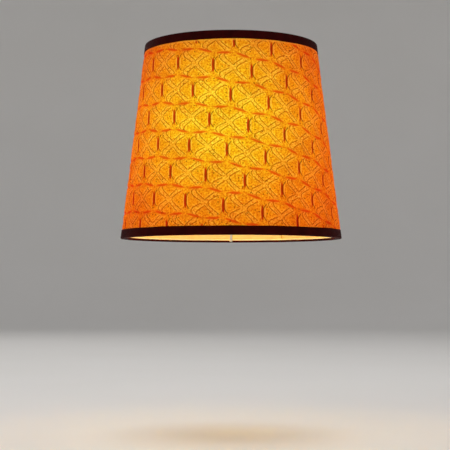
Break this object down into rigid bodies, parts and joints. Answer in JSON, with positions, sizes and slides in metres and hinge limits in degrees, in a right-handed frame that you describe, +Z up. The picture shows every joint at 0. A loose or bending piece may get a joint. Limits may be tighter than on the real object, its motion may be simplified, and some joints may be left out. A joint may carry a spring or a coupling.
{
  "type": "table lamp shade",
  "caption": "Tapered drum lamp shade: embossed fabric on a plastic liner, ribbon-edged wire rims, and a washer on spokes that seats on a lampholder.",
  "frame": {"origin": "centre of the bottom rim, in the plane of the rim's lower edge, on the axis of the shade", "axes": "+Z up along the axis of the shade, front is -Y, and the lap seam is towards the rear at 60 to 65 degrees from +X"},
  "size_m": [0.2298, 0.2297, 0.202],
  "materials": {
    "fabric": "embossed jacquard, satin",
    "liner": "satin translucent PVC",
    "tape": "double-sided film",
    "ribbon": "dark satin ribbon",
    "frame": "white epoxy coat, semi-gloss"
  },
  "bodies": {
    "root": {"shade_fabric": "fabric", "shade_liner": "liner", "lap_tape": "tape", "bottom_ribbon": "ribbon", "top_ribbon": "ribbon", "bottom_ring": "frame", "top_ring": "frame", "fitter_washer": "frame", "spoke_1": "frame", "spoke_2": "frame", "spoke_3": "frame"}
  },
  "joints": []
}
